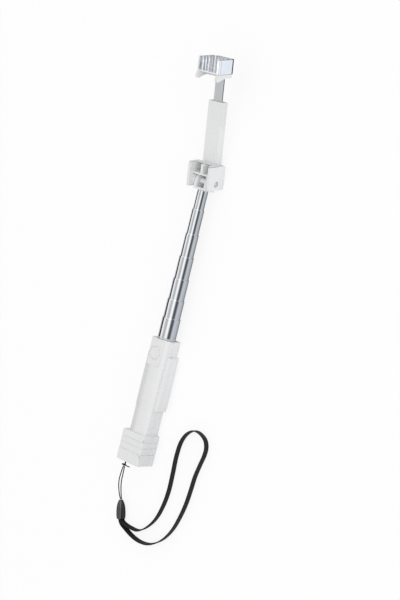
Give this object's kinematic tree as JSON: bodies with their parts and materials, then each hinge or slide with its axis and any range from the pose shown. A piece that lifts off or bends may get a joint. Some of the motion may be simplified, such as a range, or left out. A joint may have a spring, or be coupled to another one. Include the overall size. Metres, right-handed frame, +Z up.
{
  "type": "selfie stick",
  "caption": "Telescopic selfie stick with a rounded grip, shutter button, bright tube sections, tilting U-shaped phone clamp and looped wrist strap.",
  "frame": {"origin": "middle of the stick's plan on the surface it lies on, without its wrist strap and string", "axes": "+Y along the stick from the end block to the phone head, +Z up from the surface with the shutter button facing up, +X across"},
  "size_m": [0.0793, 0.4071, 0.0411],
  "materials": {
    "white_plastic": "satin moulded, fine texture",
    "chrome": "polished",
    "steel": "brushed",
    "nylon": "matte",
    "soft_pad": "soft matte",
    "board": "solder mask",
    "flex": "film",
    "cell": "foil",
    "black_plastic": "gloss",
    "strap_weave": "woven",
    "string": "braided"
  },
  "bodies": {
    "grip": {"front_shell": "white_plastic", "rear_shell": "white_plastic", "mouth_bush": "nylon", "grip_screw_1": "steel", "grip_screw_2": "steel", "grip_screw_3": "steel", "grip_screw_4": "steel", "button_switch": "steel", "flex_cable": "flex", "circuit_board": "board", "battery": "cell", "charging_socket": "steel", "lanyard_bar": "steel", "string_knot": "string", "string_left": "string", "string_right": "string", "strap_slider": "black_plastic", "wrist_strap": "strap_weave"},
    "button": {"shutter_button": "white_plastic"},
    "section_1": {"tube_1": "chrome", "slide_collar_1": "nylon"},
    "section_2": {"tube_2": "chrome", "slide_collar_2": "nylon"},
    "section_3": {"tube_3": "chrome", "slide_collar_3": "nylon"},
    "section_4": {"tube_4": "chrome", "slide_collar_4": "nylon"},
    "section_5": {"tube_5": "chrome", "slide_collar_5": "nylon"},
    "section_6": {"tube_6": "chrome", "slide_collar_6": "nylon"},
    "section_7": {"tube_7": "chrome", "slide_collar_7": "nylon", "hinge_block": "white_plastic", "hinge_pin": "steel", "hinge_barrel": "white_plastic", "friction_washer_left": "steel", "friction_washer_right": "steel"},
    "head": {"head_frame": "white_plastic", "seat_pad": "soft_pad", "spine_cover": "white_plastic", "cover_screw_1": "steel", "cover_screw_2": "steel", "friction_spring": "steel"},
    "jaw": {"slide_strip": "steel", "stop_pin": "steel", "jaw_base": "white_plastic", "jaw_pad": "soft_pad", "jaw_shell": "chrome"}
  },
  "joints": [
    {"name": "extend_1", "type": "slide", "parent": "grip", "child": "section_1", "axis": [0, 1, 0], "range_m": [-0.0179, 0.0436]},
    {"name": "extend_2", "type": "slide", "parent": "section_1", "child": "section_2", "axis": [0, 1, 0], "range_m": [-0.0153, 0.0462]},
    {"name": "extend_3", "type": "slide", "parent": "section_2", "child": "section_3", "axis": [0, 1, 0], "range_m": [-0.0172, 0.0443]},
    {"name": "extend_4", "type": "slide", "parent": "section_3", "child": "section_4", "axis": [0, 1, 0], "range_m": [-0.0183, 0.0432]},
    {"name": "extend_5", "type": "slide", "parent": "section_4", "child": "section_5", "axis": [0, 1, 0], "range_m": [-0.0189, 0.0426]},
    {"name": "extend_6", "type": "slide", "parent": "section_5", "child": "section_6", "axis": [0, 1, 0], "range_m": [-0.0202, 0.0413]},
    {"name": "extend_7", "type": "slide", "parent": "section_6", "child": "section_7", "axis": [0, 1, 0], "range_m": [-0.0158, 0.0457]},
    {"name": "head_tilt", "type": "hinge", "parent": "section_7", "child": "head", "pos_m": [0, 0.07006, 0.0097], "axis": [1, 0, 0], "range_deg": [-42, 78]},
    {"name": "jaw_slide", "type": "slide", "parent": "head", "child": "jaw", "axis": [0, 0.9781, 0.2079], "range_m": [-0.0105, 0.014]},
    {"name": "shutter_press", "type": "slide", "parent": "grip", "child": "button", "axis": [0, 0, -1], "range_m": [0, 0.0004], "stiffness_N_per_m": 1500, "springref_m": -0.0004}
  ]
}
